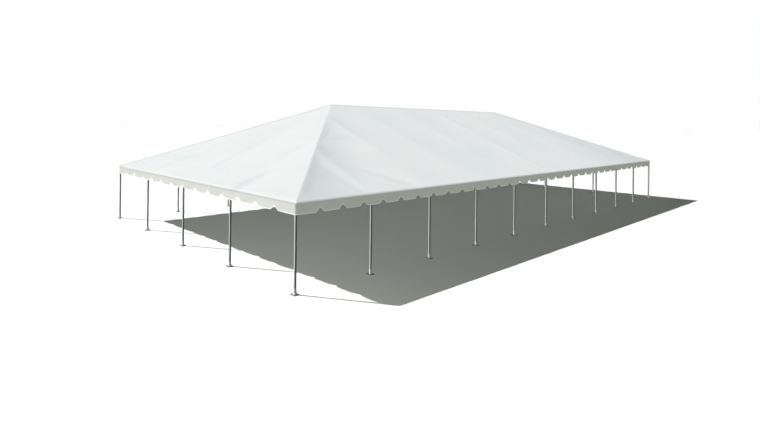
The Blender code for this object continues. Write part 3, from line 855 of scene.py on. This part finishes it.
FRAME_PAINTS = [FRAME_METAL, FITTING_METAL, BOLT_STEEL]
TIE_PAINTS = [TIE_METAL, FITTING_METAL, BOLT_STEEL]
SLEEVE_LIP = 0.014
COLLAR_REACH = 0.11
BOLT_INSET = 0.045
SCREW_PLACES = (-0.125, 0.125)
LUG_HOLE_INSET = 0.085
LUG_HOLE_RADIUS = 0.0085
LUG_PLATE = 0.01
PIN_INSET = 0.1
TURNBUCKLE_INSET = 0.85
TURNBUCKLE_LENGTH = 0.24
TURNBUCKLE_BAR = 0.0055
TURNBUCKLE_SPREAD = 0.0135
ROUND_SIDES = 28
WEB_THICKNESS = 0.007
ROOF_BOLT = 0.009
LEG_BOLT = 0.0095
PURLIN_SCREW = 0.0075
CROWN_CLEAR = 0.19


def frame_at(end, side, inward_x, inward_y):
    """A point on the roof frame's axes, inward from a corner: end is -1 or 1 in X, side in Y."""
    share = min(inward_x / HIP_RUN, inward_y / HALF_WIDTH)
    height = RAIL_HEIGHT + FRAME_RISE * share
    return Vector((end * (HALF_LENGTH - inward_x), side * (HALF_WIDTH - inward_y), height))


def top_of(inset):
    """How far inward the head of a long slope's rafter is: on the hip, or on the ridge."""
    return min(inset / HIP_RUN, 1) * HALF_WIDTH


def head_at(end, side, inset):
    return frame_at(end, side, inset, top_of(inset))


def bay_line(number, bays=SIDE_BAYS):
    """Which corner of a side a line of legs is nearer to, and the distance from it."""
    return -1 if number <= bays / 2 else 1, min(number, bays - number) * BAY


def toward(start, end, distance):
    """The point at a distance from one point on the way to another."""
    start = Vector(start)
    return start + (Vector(end) - start).normalized() * distance


def member(shape, start, end, radius=TUBE_RADIUS, sides=ROUND_SIDES):
    """A tube that fits between the stubs of two fittings."""
    cut = STUB_LENGTH + GAP
    tube(shape, toward(start, end, cut), toward(end, start, cut), radius, sides)


def sleeve(shape, start, end, radius):
    """The sleeve of a cast fitting, with a raised lip round each end."""
    inner = radius - 0.0018
    lip = [(0, radius - 0.003), (0.003, radius), (SLEEVE_LIP, radius), (SLEEVE_LIP + 0.004, inner)]
    mirrored(shape, start, end, lip, ROUND_SIDES)


def through(shape, spot, along, reach=SLEEVE_REACH, radius=SLEEVE_RADIUS):
    """A sleeve that runs through a point, as far on both sides."""
    sleeve(shape, spot - along * reach, spot + along * reach, radius)


def hub(shape, centre, radius):
    """The round knuckle where the sleeves of a corner fitting meet."""
    bulge = [(radius - x, y) for x, y in arc(0, 0, radius, 10, 0.03 * pi, 0.97 * pi)]
    turned(shape, centre - UP * radius, UP, bulge, ROUND_SIDES)


def gusset(shape, spot, inward, slope):
    """The web between a leg socket and the roof stub above it."""
    foot, reach = -0.14, 0.168
    tip = slope * reach
    outline = [(0.03, foot), (0.043, foot)]
    for share in (step / 8 for step in range(1, 8)):
        hollow = 0.016 * sin(pi * share)
        rise = (0.102 + tip) * share
        outline.append((0.043 + 0.125 * share - hollow, foot + rise + hollow))
    outline += [(reach, tip - 0.038), (reach, tip - 0.03), (0.03, slope * 0.03 - 0.02)]
    slab(shape, outline, WEB_THICKNESS, placed(spot, inward))


def lug(shape, outline, place):
    """A plate with a round hole that its whole outline can be seen from."""
    around = []
    for x, y in outline:
        scale = LUG_HOLE_RADIUS / hypot(x - LUG_HOLE_INSET, y)
        around.append((LUG_HOLE_INSET + (x - LUG_HOLE_INSET) * scale, y * scale))
    half = LUG_PLATE / 2
    loops = ((-half, around), (-half, outline), (half, outline), (half, around))
    points = [place @ Vector((x, y, z)) for z, loop in loops for x, y in loop]
    shape.loft(points, len(outline), ring=True)


def rounded_tongue(length, half, straight=6):
    """The outline of a tongue that ends in a half circle round its hole."""
    centre = length - half
    lower = [(centre * k / straight, -half) for k in range(straight)]
    upper = [(x, half) for x, _ in lower[::-1]]
    return lower + arc(centre, 0, half, 12, -QUARTER, QUARTER) + upper


def leg_socket(shape, spot):
    """The socket that drops onto a leg. Returns the place of its bolt."""
    sleeve(shape, spot - UP * LEG_SOCKET_DROP, spot, LEG_SOCKET_RADIUS)
    seam = spot - UP * (SLEEVE_RADIUS + 0.002)
    weld(shape, seam, LEG_SOCKET_RADIUS - 0.001, 0.004, ROUND_SIDES)
    return spot - UP * (LEG_SOCKET_DROP - BOLT_INSET)


def roof_stub(shape, spot, target, across, radius=STUB_RADIUS):
    """A stub that points at the far end of the tube that it takes."""
    sleeve(shape, spot, toward(spot, target, STUB_LENGTH), radius)
    hex_bolt(shape, toward(spot, target, STUB_LENGTH - BOLT_INSET), across, radius, ROOF_BOLT)


def purlin_stub(shape, spot, target, length, screw_inset):
    """A stub or collar for a purlin or jack rafter, screwed from below."""
    sleeve(shape, spot, toward(spot, target, length), PURLIN_STUB_RADIUS)
    screw = toward(spot, target, length - screw_inset)
    set_screw(shape, screw, -UP, PURLIN_STUB_RADIUS, PURLIN_SCREW)


def rail_screws(shape, spot, along, inward, reaches=SCREW_PLACES):
    """Set screws under a rail sleeve."""
    for reach in reaches:
        set_screw(shape, spot + along * reach, Vector(inward) - UP, SLEEVE_RADIUS)


def rail_fitting(shape, spot, along, inward, head):
    """The rail's sleeve, the leg's socket and a stub for the rafter."""
    bolt = leg_socket(shape, spot)
    hex_bolt(shape, bolt, along, LEG_SOCKET_RADIUS, LEG_BOLT)
    through(shape, spot, along)
    roof_stub(shape, spot, head, along)
    rail_screws(shape, spot, along, inward)


def corner_fitting(shape, spot, end, side):
    """The fitting over a corner leg, bolted from inside, clear of the valance."""
    crown = head_at(end, side, HIP_RUN)
    to_side, to_end = -end * X_AXIS, -side * Y_AXIS
    bolt = leg_socket(shape, spot)
    sleeve(shape, spot, spot + to_side * SLEEVE_REACH, SLEEVE_RADIUS)
    sleeve(shape, spot, spot + to_end * STUB_LENGTH, STUB_RADIUS)
    hub(shape, spot, SLEEVE_RADIUS)
    roof_stub(shape, spot, crown, UP.cross(crown - spot))
    rail_screws(shape, spot, to_side, to_end, SCREW_PLACES[1:])
    set_screw(shape, spot + to_end * (STUB_LENGTH - 0.035), to_side - UP, STUB_RADIUS)
    set_screw(shape, bolt, to_side + to_end, LEG_SOCKET_RADIUS, LEG_BOLT)


def tie_line(x, side):
    """The pins at the two ends of a truss tie: on the rail's lug and on the post."""
    near = HALF_WIDTH - LUG_REACH - GAP - TIE_FORK_LENGTH / 2
    fork = Vector((x, side * near, RAIL_HEIGHT - LUG_DROP))
    post = Vector((x, 0, POST_FOOT_HEIGHT))
    along = (post - fork).normalized()
    lug_pin = fork - along * ((HALF_WIDTH - LUG_HOLE_INSET - near) / abs(along.y))
    return lug_pin, post - along * LUG_HOLE_INSET


def tie_lug(shape, spot, side):
    """The lug on a rail fitting that a truss tie is pinned to."""
    drop = spot.z - tie_line(spot.x, side)[0].z
    tip = arc(LUG_HOLE_INSET, 0, 0.022, 12, radians(-120), radians(70))
    outline = [(0.012, drop - 0.02), (0.012, -0.006), *tip, (0.05, drop - 0.02)]
    dense = []
    for (x0, y0), (x1, y1) in zip(outline, outline[1:] + outline[:1]):
        parts = max(1, int(hypot(x1 - x0, y1 - y0) / 0.012))
        dense += [(x0 + (x1 - x0) * k / parts, y0 + (y1 - y0) * k / parts) for k in range(parts)]
    lug(shape, dense, placed(spot - UP * drop, (0, -side, 0)))


def side_rail(side, name):
    """A long eave rail with its fittings and those at the corners."""
    shape = Shape()
    reach = HALF_LENGTH - SLEEVE_REACH + 0.03
    ends = [(end * reach, side * HALF_WIDTH, RAIL_HEIGHT) for end in (-1, 1)]
    tube(shape, *ends, TUBE_RADIUS, ROUND_SIDES)
    inward = -side * Y_AXIS
    for number in range(SIDE_BAYS + 1):
        end, inset = bay_line(number)
        spot = frame_at(end, side, inset, 0)
        if not inset:
            corner_fitting(shape, spot, end, side)
            continue
        rail_fitting(shape, spot, X_AXIS, inward, head_at(end, side, inset))
        if number in RAFTER_LINES:
            tie_lug(shape, spot, side)
        else:
            gusset(shape, spot, inward, FRAME_RISE / HALF_WIDTH)
    shape.piece(f"rail_{name}", FRAME_PAINTS, "frame_metal", (f"eave_rail_{name}",))


def end_rail(end, name):
    """An end eave rail, which fits between two corner fittings."""
    shape = Shape()
    member(shape, frame_at(end, -1, 0, 0), frame_at(end, 1, 0, 0))
    for number in range(1, END_BAYS):
        side, inset = bay_line(number, END_BAYS)
        spot = frame_at(end, side, 0, inset)
        head = head_at(end, side, inset / HALF_WIDTH * HIP_RUN)
        rail_fitting(shape, spot, Y_AXIS, -end * X_AXIS, head)
        gusset(shape, spot, -end * X_AXIS, FRAME_RISE / HIP_RUN)
    shape.piece(f"rail_{name}", FRAME_PAINTS, "frame_metal", (f"eave_rail_{name}",))


def ridge():
    """The ridge tube with its crown and rafter fittings."""
    shape = Shape()
    crowns = [head_at(end, 1, HIP_RUN) for end in (-1, 1)]
    clear = X_AXIS * CROWN_CLEAR
    tube(shape, crowns[0] + clear, crowns[1] - clear, TUBE_RADIUS, ROUND_SIDES)
    cap = [(0, 0.012), (0.003, 0.03), (0.026, 0.034), (0.034, 0.03)]
    for end, crown in zip((-1, 1), crowns):
        inward = -end * X_AXIS
        sleeve(shape, crown, crown + inward * STUB_LENGTH, SLEEVE_RADIUS)
        rail_screws(shape, crown, inward, (0, 0, 0), (0.17, 0.12))
        for side in (-1, 1):
            corner = head_at(end, side, 0)
            roof_stub(shape, crown, corner, UP.cross(corner - crown))
        roof_stub(shape, crown, frame_at(end, 1, 0, HALF_WIDTH), Y_AXIS, CROSS_SLEEVE_RADIUS)
        hub(shape, crown, SLEEVE_RADIUS)
        turned(shape, crown - UP * 0.062, UP, cap)
    drop = FRAME_RISE / HALF_WIDTH
    web = [(0.03, -0.11), (0.15, -0.15 * drop - 0.052), (0.15, -0.15 * drop - 0.032), (0.03, -0.03)]
    for number in RAFTER_LINES:
        spot = Vector((-HALF_LENGTH + number * BAY, 0, RIDGE_AXIS_HEIGHT))
        foot = spot - UP * POST_STUB_DROP
        through(shape, spot, X_AXIS)
        rail_screws(shape, spot, X_AXIS, (0, -0.8, 0))
        sleeve(shape, foot, spot, CROSS_SLEEVE_RADIUS)
        hex_bolt(shape, foot + UP * BOLT_INSET, X_AXIS, CROSS_SLEEVE_RADIUS, ROOF_BOLT)
        for side in (-1, 1):
            roof_stub(shape, spot, (spot.x, side * HALF_WIDTH, RAIL_HEIGHT), X_AXIS)
            slab(shape, web, WEB_THICKNESS, placed(spot, (0, side, 0)))
    shape.piece("ridge", FRAME_PAINTS, "frame_metal", ("ridge_beam",))


def cross_fitting(shape, spot, target, purlin=None):
    """A sleeve on a rafter, with collars for a purlin that crosses it."""
    along = (target - spot).normalized()
    through(shape, spot, along, radius=CROSS_SLEEVE_RADIUS)
    across = purlin or along.cross(UP).normalized()
    inner = across.cross(along).normalized()
    if inner.z > 0:
        inner = -inner
    for offset in SCREW_PLACES:
        set_screw(shape, spot + along * offset, inner, CROSS_SLEEVE_RADIUS)
    if purlin:
        through(shape, spot, across, COLLAR_REACH, PURLIN_STUB_RADIUS)
        for sign in (-1, 1):
            screw = spot + across * sign * (COLLAR_REACH - 0.022)
            set_screw(shape, screw, inner, PURLIN_STUB_RADIUS, PURLIN_SCREW)


def rafters(kind, name, purlin_ends, lines, purlin):
    """The rafters of one slope, each given by its foot, middle and head, on their purlin."""
    shape = Shape()
    member(shape, *purlin_ends, PURLIN_RADIUS, 24)
    for foot, middle, head in lines:
        member(shape, foot, head)
        cross_fitting(shape, middle, head, purlin)
    shape.piece(f"rafters_{name}", FRAME_PAINTS, "frame_metal", (f"{kind}_frame_{name}",))


def hip(end, side, name):
    """A hip rafter with two short jack rafters and the stubs for the purlins."""
    shape = Shape()
    crown = head_at(end, side, HIP_RUN)
    middle = head_at(end, side, HIP_RUN / 2)
    side_head = head_at(end, side, BAY)
    jack_head = head_at(end, side, 2 * BAY)
    member(shape, head_at(end, side, 0), crown)
    plug = [
        (0, 0.034), (0.003, 0.0365), (0.02, 0.0365), (0.046, 0.0285), (0.06, 0.028),
        (0.062, 0.0262),
    ]
    side_foot, end_foot = frame_at(end, side, BAY, 0), frame_at(end, side, 0, HALF_WIDTH / 2)
    for foot, head in ((side_foot, side_head), (end_foot, middle)):
        start = toward(foot, head, STUB_LENGTH + GAP)
        tube(shape, start, toward(head, foot, 0.02), PURLIN_RADIUS)
        turned(shape, start, head - start, plug, ROUND_SIDES)
        purlin_stub(shape, head, foot, COLLAR_REACH + 0.03, 0.025)
    for inward in (-end * X_AXIS, -side * Y_AXIS):
        purlin_stub(shape, middle, middle + inward, STUB_LENGTH, 0.03)
    for spot in (side_head, middle, jack_head):
        cross_fitting(shape, spot, crown)
    roof_stub(shape, jack_head, frame_at(end, side, 2 * BAY, 0), X_AXIS, TUBE_RADIUS + GAP + 0.003)
    shape.piece(f"hip_{name}", FRAME_PAINTS, "frame_metal", (f"hip_rafter_{name}",))


def clevis(shape, pin, along):
    """A fork with its pin, at the end of a tie that runs away from it."""
    neck = [(0, 0.009), (0.002, 0.0135), (0.04, 0.0135), (0.058, 0.0095)]
    shank = [(0, 0.006), (0.001, 0.0072), (0.037, 0.0072), (0.038, 0.006)]
    head = [(0, 0.012), (0.004, 0.012), (0.005, 0.01)]
    for sign in (-1, 1):
        cheek = pin + along * 0.059 + X_AXIS * sign * 0.0085
        slab(shape, rounded_tongue(0.075, 0.016), 0.005, placed(cheek, -along, X_AXIS.cross(along)))
    turned(shape, pin + along * 0.05, along, neck, 20)
    turned(shape, pin - X_AXIS * 0.02, X_AXIS, shank, 16, BOLT)
    turned(shape, pin + X_AXIS * 0.0115, X_AXIS, head, 6, BOLT)


def truss_tie(number, line):
    """A post under the ridge, held by two ties with turnbuckles."""
    shape = Shape()
    foot = Vector((-HALF_LENGTH + line * BAY, 0, POST_FOOT_HEIGHT))
    top = RIDGE_AXIS_HEIGHT - POST_STUB_DROP - GAP - POST_FOOT_HEIGHT
    collar = [(0, 0.0262), (0.006, 0.033), (0.02, 0.034), (0.03, 0.034), (0.031, 0.033)]
    cap = [(0, 0.01), (0.004, 0.02), (0.01, 0.026), (0.014, 0.026)]
    nut = [(0, 0.0155), (0.003, 0.0175), (0.034, 0.0175), (0.037, 0.0155)]
    lock_nut = [(0, 0.012), (0.012, 0.012), (0.014, 0.01)]
    tongue = rounded_tongue(LUG_HOLE_INSET + 0.012, 0.02)
    tube(shape, foot, foot + UP * top, POST_RADIUS)
    turned(shape, foot + UP * (top - 0.031), UP, collar)
    through(shape, foot, UP, TIE_BOSS_HEIGHT, TIE_BOSS_RADIUS)
    turned(shape, foot - UP * (TIE_BOSS_HEIGHT + 0.012), UP, cap)
    hex_bolt(shape, foot + UP * 0.036, X_AXIS, TIE_BOSS_RADIUS, 0.008)
    for side in (-1, 1):
        lug_pin, post_pin = tie_line(foot.x, side)
        along = (post_pin - lug_pin).normalized()
        rise = along.cross(X_AXIS)
        lug(shape, [(0.01 + x * 0.95, y) for x, y in tongue], placed(foot, -along, rise))
        clevis(shape, lug_pin, along)
        clevis(shape, post_pin, -along)
        # the rod, broken by the turnbuckle
        body = lug_pin + along * TURNBUCKLE_INSET
        far = body + along * TURNBUCKLE_LENGTH
        tube(shape, lug_pin + along * PIN_INSET, body + along * 0.075, TIE_RADIUS, 16)
        tube(shape, far - along * 0.075, post_pin - along * PIN_INSET, TIE_RADIUS, 16)
        turned(shape, body, along, nut, 20)
        turned(shape, far - along * 0.037, along, nut, 20)
        turned(shape, body - along * 0.016, along, lock_nut, 6, BOLT)
        for offset in (-rise * TURNBUCKLE_SPREAD, rise * TURNBUCKLE_SPREAD):
            ends = (body + offset + along * 0.02, far + offset - along * 0.02)
            tube(shape, *ends, TURNBUCKLE_BAR, 14, FITTING)
    shape.piece(f"tie_rods_{number}", TIE_PAINTS, "tie_metal", (f"truss_tie_{number}",))


for side, side_name in SIDES:
    side_rail(side, side_name)
    ends = [head_at(end, side, HIP_RUN / 2) for end in (-1, 1)]
    lines = [
        [frame_at(end, side, inset, inward) for inward in (0, HALF_WIDTH / 2, top_of(inset))]
        for end, inset in map(bay_line, range(2, SIDE_BAYS - 1))
    ]
    rafters("slope", side_name, ends, lines, X_AXIS)
for end, end_name in ENDS:
    end_rail(end, end_name)
    ends = [head_at(end, side, HIP_RUN / 2) for side in (-1, 1)]
    line = [frame_at(end, 1, inward, HALF_WIDTH) for inward in (0, HIP_RUN / 2, HIP_RUN)]
    rafters("end", end_name, ends, [line], Y_AXIS)
    for side, side_name in SIDES:
        hip(end, side, f"{side_name}_{end_name}")
ridge()
for number, line in enumerate(RAFTER_LINES, start=1):
    truss_tie(number, line)


# Floor

FLOOR_REACH = 900

floor_mesh = bpy.data.meshes.new("floor")
corners = ((-1, -1, 0), (1, -1, 0), (1, 1, 0), (-1, 1, 0))
floor_mesh.from_pydata([Vector(corner) * FLOOR_REACH for corner in corners], [], [(0, 1, 2, 3)])
floor_paint = Paint("floor_matte", (0.93, 0.93, 0.93), 0.9)
put(floor_paint.shader["Specular IOR Level"], 0)
floor_mesh.materials.append(floor_paint.material)
floor = add_object("floor", floor_mesh)
floor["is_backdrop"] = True
floor.visible_glossy = False
floor.visible_diffuse = False
floor.visible_shadow = False


# Light

LIGHT_RUN = (2.03, -1.75, -2.46)
SHADOW_RUN = (1.65, -2.05, -2.46)
SKY_RUN = (0.677, 0.513, -0.527)
LEFT = (-0.803, 0.596, 0)
WORLD_BASE = 0.03
WHITE = (1, 1, 1)


def group(name, members):
    """Objects that some lights shine on."""
    made = bpy.data.collections.new(name)
    for one in members:
        made.objects.link(one)
    return made


def light(kind, name, energy, color, receivers):
    """A light that shines on one group of objects."""
    lamp = bpy.data.lights.new(name, kind)
    lamp.energy = energy
    lamp.color = color
    made = add_object(name, lamp)
    made.light_linking.receiver_collection = receivers
    return made


def sun(name, towards, strength, soft, receivers, color=WHITE):
    """A distant light. Its angle is in degrees."""
    made = light("SUN", name, strength, color, receivers)
    made.data.angle = radians(soft)
    made.rotation_euler = Vector(towards).to_track_quat("-Z", "Y").to_euler()
    return made


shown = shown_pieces()
roofs = [piece for piece in shown if piece.name.startswith("roof_cloth")]
skirts = [piece for piece in shown if piece.name.startswith("valance_cloth")]
metals = [piece for piece in shown if piece not in roofs and piece not in skirts]
ROOF_LIT = group("lit_roof", roofs)
SKIRT_LIT = group("lit_valances", skirts)
METAL_LIT = group("lit_metal", metals)
FLOOR_LIT = group("lit_floor", [floor])
UNDER_LIT = group("lit_underside", roofs + metals)

sun("sun_on_floor", SHADOW_RUN, 4.5, 0.5, FLOOR_LIT)
sky = sun("sky_on_floor", (0, 0, -1), 0.29, 10, FLOOR_LIT, (0.9, 1, 0.84))
sky.light_linking.blocker_collection = FLOOR_LIT
sun("sun_on_roof", LIGHT_RUN, 0.73, 1.5, ROOF_LIT, (1, 0.88, 0.86))
sun("sky_on_roof", SKY_RUN, 4.05, 24, ROOF_LIT, (0.965, 1, 1))
back = sun("back_on_roof", (-0.62, -0.77, -0.14), 2.9, 4, ROOF_LIT, (1, 1, 0.99))
back.visible_glossy = False
sun("bounce_under_roof", (0.1, 0.1, 1), 0.25, 120, UNDER_LIT, (1, 1, 0.97))
sun("sun_on_valances", LIGHT_RUN, 5, 1.5, SKIRT_LIT, (1, 1, 0.99))
sun("fill_on_valances", (0.35, 1, -0.35), 1.52, 40, SKIRT_LIT, (0.96, 1, 0.91))
sun("back_on_valances", (-0.95, -0.22, -0.2), 2.2, 8, SKIRT_LIT, (1, 1, 0.98))
sun("sun_on_metal", LIGHT_RUN, 2.4, 12, METAL_LIT)
sun("side_on_metal", (0.803, -0.596, 0.06), 0.9, 60, METAL_LIT, (1, 1, 0.97))

# A low lamp to the left lifts the near end of the tent's shadow
low_lamp = light("POINT", "lamp_on_floor", 13800, (1, 1, 0.93), FLOOR_LIT)
low_lamp.data.shadow_soft_size = 0.3
low_lamp.location = (-26.8, -9, 1)
low_lamp.light_linking.blocker_collection = FLOOR_LIT

# White behind the tent, a weak even light, and brighter to the left and overhead in reflections
world = bpy.data.worlds.new("studio")
scene.world = world
world.use_nodes = True
tree = world.node_tree
tree.nodes.clear()
course = add_node(tree, "TexCoord", output="Generated")
aim = add_node(tree, "VectorMath", {0: course, 1: LEFT}, "Value", operation="DOT_PRODUCT")
height = add_node(tree, "SeparateXYZ", {0: course}, "Z")
to_left = aim.spread(0, 0.45, 0.1, 0.85, interpolation_type="SMOOTHSTEP")
overhead = height.spread(0, 0.6, 0, 0.35, interpolation_type="SMOOTHSTEP")
glossy = add_node(tree, "LightPath", output="Is Glossy Ray")
strength = (to_left + overhead) * glossy + WORLD_BASE
even = add_node(tree, "Background", {"Color": (0.95, 0.985, 0.985), "Strength": strength})
seen = add_node(tree, "Background", {"Color": WHITE, "Strength": 1})
by_camera = add_node(tree, "LightPath", output="Is Camera Ray")
pick = add_node(tree, "MixShader", {0: by_camera, 1: even, 2: seen})
put(tree.nodes.new("ShaderNodeOutputWorld").inputs["Surface"], pick)
scene.view_settings.view_transform = "Standard"


# Camera

CAMERA_PLACE = (-23.716, -15.44, 4.475)
CAMERA_YAW = radians(-36.6)
CAMERA_ROLL = radians(0.7)
CAMERA_LENS = 22.609
CAMERA_SHIFT = (0.1711, -0.1184)

level_right = Vector((cos(CAMERA_YAW), sin(CAMERA_YAW), 0))
backward = Vector((sin(CAMERA_YAW), -cos(CAMERA_YAW), 0))
right = level_right * cos(CAMERA_ROLL) + UP * sin(CAMERA_ROLL)
above = UP * cos(CAMERA_ROLL) - level_right * sin(CAMERA_ROLL)
turn = Matrix((right, above, backward)).transposed()
lens = bpy.data.cameras.new("camera")
lens.lens = CAMERA_LENS
lens.sensor_width = 36
lens.shift_x, lens.shift_y = CAMERA_SHIFT
lens.clip_end = 3000
camera = add_object("camera", lens)
camera.matrix_world = Matrix.Translation(CAMERA_PLACE) @ turn.to_4x4()
scene.camera = camera
